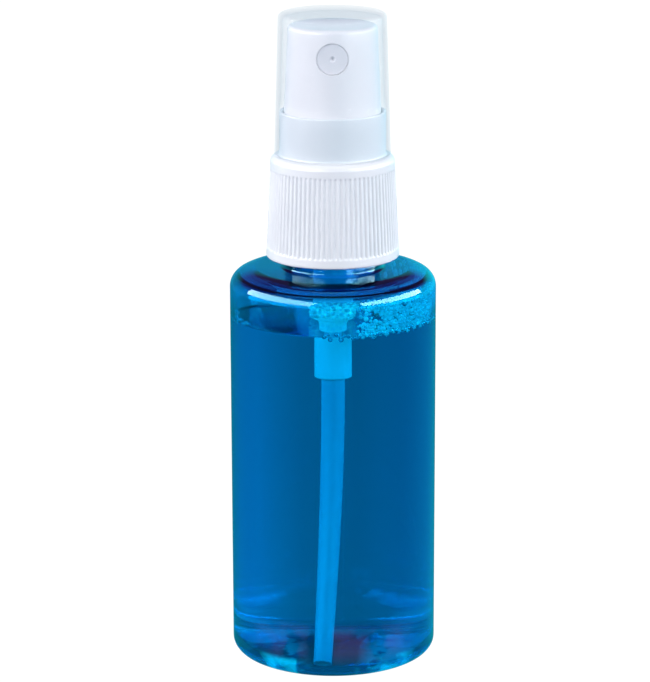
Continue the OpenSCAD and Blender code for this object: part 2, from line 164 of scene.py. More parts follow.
def lathe(name, section, material, around=AROUND, shift=None, closed=False):
    """A section turned about Z. shift(r, z, angle) may move a point's radius. A section that is
    closed is a ring; an open one starts and ends on the axis."""
    verts, rings = [], []
    for r, z in section:
        if r < 1e-6:
            rings.append([len(verts)])
            verts.append((0, 0, z * MM))
            continue
        ring = []
        for k in range(around):
            a = 2 * math.pi * k / around
            rr = r + (shift(r, z, a) if shift else 0)
            ring.append(len(verts))
            verts.append((rr * math.cos(a) * MM, rr * math.sin(a) * MM, z * MM))
        rings.append(ring)
    faces = []
    pairs = list(zip(rings, rings[1:] + rings[:1])) if closed else list(zip(rings, rings[1:]))
    for low, high in pairs:
        for k in range(around):
            n = (k + 1) % around
            if len(low) == 1 and len(high) == 1:
                continue
            if len(low) == 1:
                faces.append((low[0], high[n], high[k]))
            elif len(high) == 1:
                faces.append((low[k], low[n], high[0]))
            else:
                faces.append((low[k], low[n], high[n], high[k]))
    return make(name, verts, faces, material)


def finish_piece(obj, body, node):
    """Puts a piece on its body and hides the CAD node it stands for."""
    turn_outwards(obj)
    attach(obj, body)
    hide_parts(node)


def turn_outwards(obj):
    """Turns all faces of a closed mesh outwards."""
    bm = bmesh.new()
    bm.from_mesh(obj.data)
    bmesh.ops.recalc_face_normals(bm, faces=bm.faces)
    bm.to_mesh(obj.data)
    bm.free()


def sharpen(obj, degrees):
    """Smooth shading that stays crisp over edges sharper than an angle."""
    obj.data.set_sharp_from_angle(angle=math.radians(degrees))


# ---------------------------------------------------------------- materials

# Refractive index of polypropylene and of the overcap's plastic
PLASTIC_IOR = 1.49


def new_material(name):
    """A material that starts as one plain surface shader."""
    m = bpy.data.materials.new(name)
    m.use_nodes = True
    nt = m.node_tree
    nt.nodes.clear()
    out = nt.nodes.new("ShaderNodeOutputMaterial")
    bsdf = nt.nodes.new("ShaderNodeBsdfPrincipled")
    nt.links.new(bsdf.outputs[0], out.inputs["Surface"])
    return m, nt, bsdf, out


def object_noise(nt, scale, detail=2.0, roughness=0.5, stretch=(1, 1, 1)):
    """Noise fixed to the object, in its own coordinates."""
    coord = nt.nodes.new("ShaderNodeTexCoord")
    mapping = nt.nodes.new("ShaderNodeMapping")
    mapping.inputs["Scale"].default_value = stretch
    tex = nt.nodes.new("ShaderNodeTexNoise")
    tex.inputs["Scale"].default_value = scale
    tex.inputs["Detail"].default_value = detail
    tex.inputs["Roughness"].default_value = roughness
    nt.links.new(coord.outputs["Object"], mapping.inputs["Vector"])
    nt.links.new(mapping.outputs[0], tex.inputs["Vector"])
    return tex.outputs[0]


def colour_stops(nt, fac, stops):
    """A colour ramp with stops given as (position, colour)."""
    node = nt.nodes.new("ShaderNodeValToRGB")
    elements = node.color_ramp.elements
    while len(elements) < len(stops):
        elements.new(0.5)
    for element, (at, colour) in zip(elements, sorted(stops)):
        element.position = at
        element.color = (*colour, 1)
    nt.links.new(fac, node.inputs[0])
    return node.outputs[0]


def ramp(nt, fac, low, high):
    """Two colours, blended over the middle of a noise's range."""
    return colour_stops(nt, fac, [(0.3, low), (0.7, high)])


def span(nt, fac, low, high):
    """A number that runs from low to high with a factor."""
    node = nt.nodes.new("ShaderNodeMapRange")
    node.inputs["To Min"].default_value = low
    node.inputs["To Max"].default_value = high
    nt.links.new(fac, node.inputs["Value"])
    return node.outputs[0]


def math_node(nt, operation, *values):
    """One sum of numbers or sockets."""
    node = nt.nodes.new("ShaderNodeMath")
    node.operation = operation
    for i, value in enumerate(values):
        if isinstance(value, (int, float)):
            node.inputs[i].default_value = value
        else:
            nt.links.new(value, node.inputs[i])
    return node.outputs[0]


def product(nt, first, *others):
    """Numbers or sockets multiplied together."""
    for other in others:
        first = math_node(nt, "MULTIPLY", first, other)
    return first


def bump(nt, bsdf, height, distance, strength=1.0):
    """Fine relief from a height between 0 and 1 and a distance in metres."""
    node = nt.nodes.new("ShaderNodeBump")
    node.inputs["Strength"].default_value = strength
    node.inputs["Distance"].default_value = distance
    nt.links.new(height, node.inputs["Height"])
    nt.links.new(node.outputs[0], bsdf.inputs["Normal"])


def moulded(name, low, high, rough=(0.32, 0.42), grain=2500, depth=0.000004, painted_glow=0.0,
            clouds=90):
    """Injection-moulded plastic: slight cloudiness, fine grain, uneven gloss. A painted glow,
    emission in the plastic's own colour, brightens it and lifts its shade though it is no lamp."""
    m, nt, bsdf, _ = new_material(name)
    colour = ramp(nt, object_noise(nt, clouds, 3), low, high)
    nt.links.new(colour, bsdf.inputs["Base Color"])
    nt.links.new(span(nt, object_noise(nt, 260, 2), *rough), bsdf.inputs["Roughness"])
    bump(nt, bsdf, object_noise(nt, grain, 2), depth, 0.35)
    bsdf.inputs["IOR"].default_value = PLASTIC_IOR
    # Painted glow: emission in the plastic's colour that brightens the part though it is no lamp.
    if painted_glow:
        nt.links.new(colour, bsdf.inputs["Emission Color"])
        bsdf.inputs["Emission Strength"].default_value = painted_glow
    return m


def absorbing(nt, out, colour, density):
    """An inside that takes some of the light that crosses it."""
    volume = nt.nodes.new("ShaderNodeVolumeAbsorption")
    volume.inputs["Color"].default_value = (*colour, 1)
    volume.inputs["Density"].default_value = density
    nt.links.new(volume.outputs[0], out.inputs["Volume"])


def veil(name, low, high, cover, absorb, density):
    """Thin clear plastic with a faint haze: it covers only a part of what is behind it, and
    looks denser where it is seen edge-on."""
    m, nt, bsdf, out = new_material(name)
    nt.links.new(ramp(nt, object_noise(nt, 90, 3), low, high), bsdf.inputs["Base Color"])
    nt.links.new(span(nt, object_noise(nt, 300, 2), 0.08, 0.16), bsdf.inputs["Roughness"])
    nt.links.new(span(nt, object_noise(nt, 60, 2, 0.5, (1, 1, 0.4)), *cover),
                 bsdf.inputs["Alpha"])
    bsdf.inputs["IOR"].default_value = PLASTIC_IOR
    absorbing(nt, out, absorb, density)
    return m


def object_axes(nt):
    """The object's own x, y and z, in metres."""
    coord = nt.nodes.new("ShaderNodeTexCoord")
    split = nt.nodes.new("ShaderNodeSeparateXYZ")
    nt.links.new(coord.outputs["Object"], split.inputs[0])
    return split.outputs


def fade(nt, value, start, end):
    """A number that goes from 0 to 1 as a value goes from start to end."""
    node = nt.nodes.new("ShaderNodeMapRange")
    node.inputs["From Min"].default_value = start
    node.inputs["From Max"].default_value = end
    nt.links.new(value, node.inputs["Value"])
    return node.outputs[0]


def scaled(nt, colour, factor):
    """A colour, or a colour socket, times a number."""
    node = nt.nodes.new("ShaderNodeVectorMath")
    node.operation = "SCALE"
    if isinstance(colour, tuple):
        node.inputs[0].default_value = colour
    else:
        nt.links.new(colour, node.inputs[0])
    nt.links.new(factor, node.inputs["Scale"])
    return node.outputs[0]


def fade_mm(nt, value, ends):
    """A fade over a length in metres, with its two ends given in millimetres."""
    return fade(nt, value, ends[0] * MM, ends[1] * MM)


# Where painted glow and painted shade show in the heel and the foot: each pair says in millimetres
# where a fade starts and where it is full. Aside is the distance from the bottle's middle plane.
PATCH_IN, PATCH_OUT = (3.5, 6.5), (14.5, 11.0)
PATCH_LOW, PATCH_TOP = (0.0, 0.6), (3.6, 3.0)
PATCH_FRONT, PATCH_AT_BACK = (4.0, -8.0), 0.35
RING_TOP = (7.0, 3.0)
PURPLE_GLOW_LOW, PURPLE_GLOW_TOP, PURPLE_GLOW_OUT = (2.5, 5.0), (10.5, 8.0), (14.5, 9.0)
TUBE_FOOT_X, TUBE_CLEAR = -2.2, (1.8, 2.4)
FOOT_RIM, FOOT_TOP = (18.0, 16.5), (5.5, 4.0)


def surface_shader(m):
    """A material's node tree and its surface shader."""
    nt = m.node_tree
    return nt, next(n for n in nt.nodes if n.type == "BSDF_PRINCIPLED")


def heel_light(m, colour, even, patches, painted_purple):
    """Painted light in the heel, all emission: a faint even glow, brighter patches in front, and a
    purple glow where the foot shows through, but not over the dip tube."""
    nt, bsdf = surface_shader(m)
    x, y, z = object_axes(nt)
    aside = math_node(nt, "ABSOLUTE", x)
    front = math_node(nt, "ADD", product(nt, fade_mm(nt, y, PATCH_FRONT), 1 - PATCH_AT_BACK),
                      PATCH_AT_BACK)
    spots = product(nt, fade_mm(nt, aside, PATCH_IN), fade_mm(nt, aside, PATCH_OUT), front,
                    fade_mm(nt, z, PATCH_TOP), fade_mm(nt, z, PATCH_LOW),
                    fade(nt, object_noise(nt, 260, 2), 0.46, 0.54), patches)
    ring = product(nt, fade_mm(nt, z, RING_TOP), even)
    blue = scaled(nt, colour, math_node(nt, "ADD", ring, spots))
    off_tube = math_node(nt, "ABSOLUTE", math_node(nt, "SUBTRACT", x, TUBE_FOOT_X * MM))
    # Painted purple glow low on the foot, kept off the strip over the dip tube.
    purple = scaled(nt, painted_purple, product(
        nt, fade_mm(nt, z, PURPLE_GLOW_LOW), fade_mm(nt, z, PURPLE_GLOW_TOP),
        fade_mm(nt, off_tube, TUBE_CLEAR), fade_mm(nt, aside, PURPLE_GLOW_OUT),
        fade(nt, object_noise(nt, 190, 2), 0.36, 0.56)))
    both = nt.nodes.new("ShaderNodeVectorMath")
    both.operation = "ADD"
    nt.links.new(blue, both.inputs[0])
    nt.links.new(purple, both.inputs[1])
    nt.links.new(both.outputs[0], bsdf.inputs["Emission Color"])
    bsdf.inputs["Emission Strength"].default_value = 1.0


def dim_foot(m, painted_shade):
    """Painted shade: the pushed-up foot and the heel are tinted darker than the wall."""
    nt, bsdf = surface_shader(m)
    x, y, z = object_axes(nt)
    out = math_node(nt, "SQRT", math_node(nt, "ADD", product(nt, x, x), product(nt, y, y)))
    shaded = product(nt, fade_mm(nt, out, FOOT_RIM), fade_mm(nt, z, FOOT_TOP), painted_shade)
    colour = bsdf.inputs["Base Color"]
    kept = math_node(nt, "SUBTRACT", 1.0, shaded)
    nt.links.new(scaled(nt, colour.links[0].from_socket, kept), colour)


def mix_shaders(nt, out, factor, first, second):
    """Links the output's surface to the first shader where a factor is 0, the second where 1."""
    mix = nt.nodes.new("ShaderNodeMixShader")
    for i, socket in enumerate((factor, first, second)):
        nt.links.new(socket, mix.inputs[i])
    nt.links.new(mix.outputs[0], out.inputs["Surface"])


def clear(name, low, high, ior, absorb=None, density=0.0, rough=(0.0, 0.02), waves=0.0,
          haze=0.0, tint=(1, 1, 1), frost=None):
    """Clear plastic or liquid: transmission, an absorbing inside and faint waviness, waves metres
    deep. Frost holds the height in mm below which the surface is rough, and how rough. Lamps and
    light from matt surfaces pass straight through, so what is inside is lit."""
    m, nt, bsdf, out = new_material(name)
    nt.links.new(ramp(nt, object_noise(nt, 70, 2), low, high), bsdf.inputs["Base Color"])
    uneven = span(nt, object_noise(nt, 400, 2), *rough)
    if frost:
        low_down = fade_mm(nt, object_axes(nt)[2], (frost[0], 0.0))
        uneven = math_node(nt, "MAXIMUM", uneven, product(nt, low_down, frost[1]))
    nt.links.new(uneven, bsdf.inputs["Roughness"])
    bsdf.inputs["Transmission Weight"].default_value = 1.0 - haze
    bsdf.inputs["IOR"].default_value = ior
    bsdf.inputs["Specular Tint"].default_value = (*tint, 1)
    if waves:
        bump(nt, bsdf, object_noise(nt, 60, 1, 0.4, (1, 1, 0.35)), waves)
    if absorb:
        absorbing(nt, out, absorb, density)
    path = nt.nodes.new("ShaderNodeLightPath")
    either = math_node(nt, "MAXIMUM", path.outputs["Is Shadow Ray"],
                       path.outputs["Is Diffuse Ray"])
    straight = nt.nodes.new("ShaderNodeBsdfTransparent")
    straight.inputs["Color"].default_value = (0.97, 0.97, 0.97, 1)
    mix_shaders(nt, out, either, bsdf.outputs[0], straight.outputs[0])
    return m


def steel(name):
    """Drawn or ground steel with fine streaks of gloss."""
    m, nt, bsdf, _ = new_material(name)
    nt.links.new(ramp(nt, object_noise(nt, 1500, 3), (0.55, 0.55, 0.57), (0.75, 0.75, 0.76)),
                 bsdf.inputs["Base Color"])
    nt.links.new(span(nt, object_noise(nt, 3000, 2), 0.15, 0.3), bsdf.inputs["Roughness"])
    bsdf.inputs["Metallic"].default_value = 1.0
    return m


BOTTLE_PET = clear("bottle_pet", (0.93, 0.97, 1.0), (0.97, 0.99, 1.0), ior=1.575,
                   absorb=(0.0, 0.9087, 0.9709), density=7000, rough=(0.0, 0.015),
                   waves=0.00002, tint=(0.35, 0.9, 1.0), frost=(1.0, 0.5))
# Painted light in the heel: an even blue glow, bright blue patches in front and a purple glow, all
# emission.
heel_light(BOTTLE_PET, (0.0, 0.42, 0.60), even=0.025, patches=0.5, painted_purple=(0.028, 0.0, 0.006))
# Painted shade: the foot and heel are tinted 60% darker than the wall.
dim_foot(BOTTLE_PET, 0.6)
LIQUID = clear("liquid", (1.0, 1.0, 1.0), (0.98, 1.0, 1.0), ior=1.35,
               absorb=(0.0, 0.80, 0.98), density=32, rough=(0.0, 0.0))
FOAM = clear("foam_film", (0.95, 0.98, 1.0), (1.0, 1.0, 1.0), ior=0.76, rough=(0.0, 0.05),
             haze=0.2)
OVERCAP_CLEAR = veil("overcap_clear", (0.82, 0.83, 0.89), (0.88, 0.89, 0.94),
                     cover=(0.05, 0.09), absorb=(0.75, 0.79, 0.83), density=200)
# The head, the natural plastic, the nozzle and the froth carry a painted glow: emission that
# brightens them and lifts their shade though they are no lamps.
WHITE_PP = moulded("white_pp", (0.73, 0.74, 0.78), (0.77, 0.78, 0.82))
ACTUATOR_PP = moulded("actuator_pp", (0.78, 0.74, 0.77), (0.82, 0.78, 0.81),
                      rough=(0.3, 0.4), painted_glow=0.05)
NATURAL_PP = moulded("natural_pp", (0.92, 0.95, 0.96), (0.96, 0.98, 0.99),
                     rough=(0.25, 0.4), painted_glow=0.3)
TUBE_PE = moulded("tube_pe", (0.74, 0.79, 0.855), (0.81, 0.86, 0.90), rough=(0.3, 0.45))
NOZZLE_POM = moulded("nozzle_pom", (0.71, 0.68, 0.72), (0.75, 0.72, 0.76),
                     rough=(0.3, 0.4), painted_glow=0.08)
GASKET_PE = moulded("gasket_pe", (0.72, 0.74, 0.76), (0.82, 0.84, 0.86),
                    rough=(0.6, 0.8), grain=900, depth=0.00004)
FROTH = moulded("froth", (0.30, 0.46, 0.55), (0.90, 1.0, 1.0),
                rough=(0.15, 0.3), grain=900, depth=0.00003, painted_glow=0.42, clouds=750)
STEEL = steel("steel")


# ---------------------------------------------------------------- bottle

def shoulder(low_wall, top_wall, steps):
    """The two arcs of the shoulder, moved in by a thickness that grows towards the neck."""
    cx, cz = BODY_R - SHOULDER_R1, SHOULDER_Z
    turn = math.radians(SHOULDER_TURN1)
    dx = (SHOULDER_R1 - SHOULDER_R2) * math.cos(turn)
    dz = (SHOULDER_R1 - SHOULDER_R2) * math.sin(turn)
    points = []
    for i in range(2 * steps + 1):
        if i <= steps:
            degrees, r, x, z = SHOULDER_TURN1 * i / steps, SHOULDER_R1, cx, cz
        else:
            degrees = SHOULDER_TURN1 + (SHOULDER_TURN2 - SHOULDER_TURN1) * (i - steps) / steps
            r, x, z = SHOULDER_R2, cx + dx, cz + dz
        a = math.radians(degrees)
        r -= low_wall + (top_wall - low_wall) * degrees / SHOULDER_TURN2
        points.append((x + r * math.cos(a), z + r * math.sin(a)))
    return points


def dome(edge_r, edge_z, centre_z, steps):
    """An arc over the axis, from its centre out to an edge."""
    rise = centre_z - edge_z
    r = (edge_r ** 2 + rise ** 2) / (2 * rise)
    turn = math.degrees(math.asin(edge_r / r))
    return arc(0, centre_z - r, r, 90, 90 - turn, steps)


def foot_rings(points):
    """Two low moulded steps round the gate in the middle of the foot."""
    return [
        (r, z + sum(rise * (1 - smooth_step(low, high, r)) for rise, low, high in GATE_STEPS))
        for r, z in points
    ]


def smooth_step(low, high, x):
    """From 0 to 1 as x goes from low to high, flat at both ends."""
    t = min(1.0, max(0.0, (x - low) / (high - low)))
    return t * t * (3 - 2 * t)


SHOULDER_TOP = shoulder(0, 0, 4)[-1][1]


def thread_ridge(r, z, angle):
    """Height of the neck's thread over the neck's outer wall."""
    if r < NECK_R - 0.05 or z < SHOULDER_TOP + 2 or z > MOUTH_Z - 0.4:
        return 0.0
    low = MOUTH_Z - THREAD_DROP - PITCH * THREAD_TURNS
    height = 0.0
    for k in range(2):
        swept = angle + 2 * math.pi * k
        if swept > 2 * math.pi * THREAD_TURNS:
            continue
        centre = low + PITCH * swept / (2 * math.pi)
        left = 2 * math.pi * THREAD_TURNS - swept
        ends = min(1.0, swept / THREAD_TAPER, left / THREAD_TAPER)
        flank = 1 - smooth_step(THREAD_CREST, THREAD_FOOT, abs(z - centre))
        height = max(height, THREAD_DEPTH * flank * max(0.0, ends))
    return height


def inner_floor(inset=0.0):
    """The bottle's inside from the middle of its floor out to the straight wall."""
    edge = FOOT_IN + 0.6
    heel = HEEL_R - WALL
    points = foot_rings(dome(edge, BASE_WALL - inset, BASE_WALL + PUSH_UP - inset, 60))
    points += arc(BODY_R - HEEL_R, BASE_WALL + heel, heel + inset, -90, 0, 16)
    return points


def make_bottle():
    """The bottle's shell: its outside from the foot to the mouth, and its inside back down."""
    outside = foot_rings(dome(FOOT_IN, 0, PUSH_UP, 60))
    outside += [(FOOT_IN + 0.4, 0.0)]
    outside += arc(BODY_R - HEEL_R, HEEL_R, HEEL_R, -90, 0, 20)
    outside += line(outside[-1], (BODY_R, SHOULDER_Z), 4.0)[:-1]
    outside += shoulder(0, 0, 24)
    fillet, edge = NECK_FILLET, MOUTH_EDGE
    outside += arc(NECK_R + fillet, SHOULDER_TOP + fillet, fillet, -90, -180, 8)
    outside += line((NECK_R, SHOULDER_TOP + fillet), (NECK_R, MOUTH_Z - edge), 0.22)
    outside += arc(NECK_R - edge, MOUTH_Z - edge, edge, 0, 90, 6)[1:]
    inside = inner_floor()
    inside += line(inside[-1], (BODY_R - WALL, SHOULDER_Z), 4.0)[:-1]
    fillet = NECK_IN_FILLET
    under = shoulder(WALL, SHOULDER_WALL, 24)
    inside += [p for p in under if p[0] > NECK_IN_R + fillet + 0.2]
    inside += arc(NECK_IN_R + fillet, SHOULDER_TOP + fillet - SHOULDER_WALL, fillet, -90, -180, 10)
    inside += line(inside[-1], (NECK_IN_R, MOUTH_Z - MOUTH_BEVEL), 2.0)
    inside += [(NECK_IN_R + MOUTH_BEVEL, MOUTH_Z)]
    obj = lathe("bottle_shell", outside + inside[::-1], BOTTLE_PET, shift=thread_ridge)
    finish_piece(obj, "bottle", "bottle")


# ---------------------------------------------------------------- liquid

def surface_z(r):
    """Height of the liquid's surface: it climbs at the wall and round the pump."""
    wall_r = BODY_R - WALL
    return FILL_Z - SINK + MENISCUS * math.exp(-(wall_r - r) / MENISCUS_REACH) \
        + PUMP_MENISCUS * math.exp(-max(0.0, r - BARREL_R) / PUMP_REACH)


def make_liquid():
    """The liquid, with close rings at the top of its side so that no shading runs down it."""
    floor = inner_floor(LIQUID_IN_WALL)
    wall_r = BODY_R - WALL + LIQUID_IN_WALL
    side = line(floor[-1], (wall_r, FILL_Z - 0.8), 4.0)
    side += line(side[-1], (wall_r, FILL_Z + MENISCUS - SINK), 0.1)
    top = []
    steps = 70
    for i in range(steps + 1):
        r = wall_r * (1 - (i / steps) ** 1.5)
        top.append((r, surface_z(min(r, BODY_R - WALL))))
    obj = lathe("liquid", floor + side + top[1:], LIQUID)
    sharpen(obj, 40)
    finish_piece(obj, "bottle", "cleaning_fluid")


# ---------------------------------------------------------------- closure

def closure_at(z):
    """The closure's outer radius at a height."""
    return CLOSURE_R - (z - CLOSURE_Z) * CLOSURE_DRAFT


def rib_shift(r, z, angle):
    """Rounded grip ribs between the closure's plain bands."""
    if r < closure_at(z) - 0.05 or z > RIB_HIGH + 0.4 or z < RIB_LOW - 0.4:
        return 0.0
    ends = smooth_step(RIB_LOW - 0.1, RIB_LOW + 0.35, z) \
        * (1 - smooth_step(RIB_HIGH - 0.5, RIB_HIGH, z))
    wave = 0.5 - 0.5 * math.cos(angle * RIBS)
    return -RIB_DEPTH * ends * (wave ** 1.5)


def make_closure():
    """The closure: skirt with close rings where the ribs end, deck, collar, and its inside."""
    edge = CLOSURE_EDGE
    outer = [(CLOSURE_IN_R + 0.4, CLOSURE_Z), (closure_at(CLOSURE_Z) - edge, CLOSURE_Z)]
    outer += arc(closure_at(CLOSURE_Z) - edge, CLOSURE_Z + edge, edge, -90, 0, 5)[1:]
    low = CLOSURE_Z + edge
    for high, step in ((RIB_LOW - 0.2, 0.4), (RIB_LOW + 0.5, 0.1), (RIB_HIGH - 0.6, 1.2),
                       (RIB_HIGH + 0.2, 0.1)):
        outer += line((closure_at(low), low), (closure_at(high), high), step)
        low = high
    outer += arc(closure_at(RIB_HIGH) - DECK_EDGE, DECK_Z - DECK_EDGE, DECK_EDGE, 0, 90, 12)
    fillet, edge = COLLAR_FILLET, COLLAR_EDGE
    outer += arc(COLLAR_R + fillet, DECK_Z + fillet, fillet, -90, -180, 6)
    outer += line((COLLAR_R, DECK_Z + fillet), (COLLAR_R, COLLAR_TOP - edge), 2.0)
    outer += arc(COLLAR_R - edge, COLLAR_TOP - edge, edge, 0, 90, 5)[1:]
    inner_collar = COLLAR_R - COLLAR_WALL
    outer += [(inner_collar + 0.1, COLLAR_TOP), (inner_collar, COLLAR_TOP - 0.1)]
    outer += [(inner_collar, DECK_Z + 0.1), (inner_collar - 0.1, DECK_Z)]
    outer += [(PUMP_HOLE_R + 0.1, DECK_Z), (PUMP_HOLE_R, DECK_Z - 0.1)]
    outer += [(PUMP_HOLE_R, CLOSURE_IN_TOP), (NECK_R + 0.25, CLOSURE_IN_TOP)]
    outer += [(NECK_R + 0.25, MOUTH_Z), (CLOSURE_IN_R, MOUTH_Z - 1)]
    outer += line((CLOSURE_IN_R, MOUTH_Z - 1), (CLOSURE_IN_R, CLOSURE_Z + 0.4), 0.3)
    obj = lathe("closure_cap", outer, WHITE_PP, RIBS * 12, rib_shift, closed=True)
    sharpen(obj, 50)
    # The photograph shows no image of the closure in the shoulder's gloss
    obj.visible_glossy = False
    finish_piece(obj, "closure", "closure")


# ---------------------------------------------------------------- overcap

def overcap_at(z):
    """The overcap's outer radius at a height."""
    rise = (z - OVERCAP_Z) / (OVERCAP_TOP - OVERCAP_Z)
    return OVERCAP_R - rise * (OVERCAP_R - OVERCAP_TOP_R)


def make_overcap():
    """The overcap: roof, tapered wall, and a thicker seat where it grips the collar."""
    edge, in_edge, rim = OVERCAP_EDGE, OVERCAP_IN_EDGE, OVERCAP_RIM
    top_r = overcap_at(OVERCAP_TOP - edge)
    roof_z = OVERCAP_TOP - OVERCAP_ROOF
    in_top_r = overcap_at(roof_z) - OVERCAP_WALL
    seat_top = COLLAR_TOP + SEAT_OVER
    points = [(0, OVERCAP_TOP)] + line((0, OVERCAP_TOP), (top_r - edge, OVERCAP_TOP), 1.0)
    points += arc(top_r - edge, OVERCAP_TOP - edge, edge, 90, 0, 14)[1:]
    points += line(points[-1], (OVERCAP_R, OVERCAP_Z + rim), 2.0)
    points += arc(OVERCAP_R - rim, OVERCAP_Z + rim, rim, 0, -90, 4)[1:]
    points += [(SEAT_R + 0.2, OVERCAP_Z), (SEAT_R, OVERCAP_Z + 0.2)]
    points += line(points[-1], (SEAT_R, seat_top), 2.0)
    points += line(points[-1], (overcap_at(seat_top + 1) - OVERCAP_WALL, seat_top + 1), 0.3)
    points += line(points[-1], (in_top_r, roof_z - in_edge), 2.0)
    points += arc(in_top_r - in_edge, roof_z - in_edge, in_edge, 0, 90, 8)[1:]
    points += line(points[-1], (0, roof_z), 1.0)
    obj = lathe("overcap_shell", points, OVERCAP_CLEAR)
    sharpen(obj, 40)
    finish_piece(obj, "overcap", "overcap")


# ---------------------------------------------------------------- dip tube

def make_dip_tube():
    """Straight in its socket, then one even curve; a hollow end cut square."""
    turn = math.radians(TUBE_TURN)
    bend = math.asin((SOCKET_Z - TUBE_END) / TUBE_BEND)
    lean = Vector((-math.sin(turn), -math.cos(turn), 0))
    path = []
    for z in (top_of("dip_tube"), SOCKET_Z + 3):
        path.append((Vector((0, 0, z)), Vector((0, 0, -1))))
    for i in range(TUBE_STEPS + 1):
        a = bend * i / TUBE_STEPS
        drop = Vector((0, 0, SOCKET_Z - TUBE_BEND * math.sin(a)))
        at = lean * (TUBE_BEND * (1 - math.cos(a))) + drop
        path.append((at, lean * math.sin(a) + Vector((0, 0, -math.cos(a)))))
    side = Vector((lean.y, -lean.x, 0))
    sides = TUBE_SIDES
    radii = [TUBE_R - 0.02] * 2 + [TUBE_R] * (TUBE_STEPS + 1)
    verts = []

    def ring(at, along, r):
        up = along.cross(side)
        for k in range(sides):
            a = 2 * math.pi * k / sides
            verts.append((at + (side * math.cos(a) + up * math.sin(a)) * r) * MM)

    for (at, along), r in zip(path, radii):
        ring(at, along, r)
    for (at, along), r in zip(path[::-1], radii):
        ring(at, along, TUBE_BORE)
    count = 2 * len(path)
    faces = []
    for i in range(count):
        a, b = i * sides, ((i + 1) % count) * sides
        for k in range(sides):
            n = (k + 1) % sides
            faces.append((a + k, a + n, b + n, b + k))
    obj = make("dip_tube_body", verts, faces, TUBE_PE)
    sharpen(obj, 40)
    finish_piece(obj, "pump", "dip_tube")


# ---------------------------------------------------------------- foam

def bubbles(name, spheres, material, detail):
    """Many round bubbles as one piece. spheres holds (centre in mm, radius in mm)."""
    bm = bmesh.new()
    for centre, r in spheres:
        place = Matrix.Translation(Vector(centre) * MM)
        bmesh.ops.create_icosphere(bm, subdivisions=detail, radius=r * MM, matrix=place)
    mesh = bpy.data.meshes.new(name)
    bm.to_mesh(mesh)
    bm.free()
    obj = add_object(name, mesh, material)
    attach(obj, "bottle")


def around_point(r, degrees, z):
    """A point at a radius and height, turned from the front towards +X."""
    a = math.radians(degrees)
    return (r * math.sin(a), -r * math.cos(a), z)


def wall_room(z, gap):
    """Largest radius of a bubble's centre inside the bottle at a height."""
    wall_r = BODY_R - WALL
    if z > SHOULDER_Z:
        reach = SHOULDER_R1 - WALL
        rise = min(reach, z - SHOULDER_Z)
        wall_r = BODY_R - SHOULDER_R1 + math.sqrt(reach ** 2 - rise ** 2)
    return wall_r - gap - 0.06


def packed(rng, count, draw, spread=0.8):
    """Spheres drawn one by one, keeping those that don't sit inside another."""
    kept = []
    for _ in range(count):
        centre, r = draw(rng)
        near = any(
            (Vector(centre) - Vector(c)).length < spread * (r + s) for c, s in kept
        )
        if not near:
            kept.append((centre, r))
    return kept


def on_shoulder(share, degrees, r):
    """A place under the shoulder's inner face, by share of its width, for a bubble's centre."""
    points = shoulder(WALL + r + 0.05, SHOULDER_WALL + r + 0.05, 20)
    x, z = points[round(share * (len(points) - 1))]
    return around_point(x, degrees, z)


def make_foam():
    """All the froth and bubbles. Each patch has a function that draws one bubble."""
    rng = random.Random(7)

    def right_patch(g):
        """Froth on the liquid's right side, climbing the wall and the shoulder."""
        degrees = g.uniform(*FROTH_TURNS)
        r = g.uniform(*FROTH_R)
        kind = g.random()
        if kind < FROTH_ON_WALL:
            z = g.uniform(FILL_Z - 0.5 + g.random(), SHOULDER_Z)
            return around_point(wall_room(z, r), degrees, z), r
        if kind < FROTH_UNDER_SHOULDER:
            reach = 0.25 + 0.75 * smooth_step(30, 62, degrees)
            return on_shoulder(reach * g.random() ** 1.2, degrees, r), r
        out = g.uniform(9.0, 17.0)
        point = around_point(out, degrees, surface_z(out) + r * 0.4)
        return (max(point[0], 5.5 + g.uniform(0, 0.8)), point[1], point[2]), r

    def contact_line(g):
        """Larger bubbles along the front of the liquid's edge."""
        degrees = g.uniform(*LINE_TURNS)
        r = g.uniform(*LINE_R)
        z = FILL_Z + 0.1 + g.uniform(-0.4, 0.5)
        return around_point(wall_room(z, r), degrees, z), r

    def left_patch(g):
        """A few small bubbles on the left."""
        degrees = g.uniform(*LEFT_TURNS)
        r = g.uniform(*LEFT_R)
        z = FILL_Z + g.uniform(-0.2, 0.9)
        return around_point(wall_room(z, r), degrees, z), r

    def collar(g):
        """Froth clinging round the pump's barrel."""
        r = g.uniform(*COLLAR_FROTH_R)
        z = g.uniform(FILL_Z + 0.4, COLLAR_FROTH_TOP)
        bulge = COLLAR_BULGE * smooth_step(63.2, 65.5, z)
        return around_point(BARREL_R + 0.5 * r + bulge * g.random(), g.uniform(0, 360), z), r

    bubbles("froth_right", packed(rng, 3000, right_patch, 0.9), FROTH, 2)
    bubbles("froth_collar", packed(rng, 700, collar), FROTH, 3)
    bubbles("foam_line", packed(rng, 220, contact_line, 0.95), FOAM, 3)
    bubbles("foam_left", packed(rng, 34, left_patch), FOAM, 3)


make_bottle()
make_liquid()
make_closure()
make_overcap()
make_dip_tube()
make_foam()


# ---------------------------------------------------------------- CAD pieces that show as they are

def dress(node, material):
    """Gives a CAD node its material and smooth shading, with a weld and an edge split as
    modifiers.
    """
    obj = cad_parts[node]
    obj.data.materials.clear()
    obj.data.materials.append(material)
    weld = obj.modifiers.new("weld", "WELD")
    weld.merge_threshold = 1e-6
    obj.data.polygons.foreach_set("use_smooth", [True] * len(obj.data.polygons))
    split = obj.modifiers.new("edges", "EDGE_SPLIT")
    split.split_angle = math.radians(30)
    split.use_edge_sharp = False


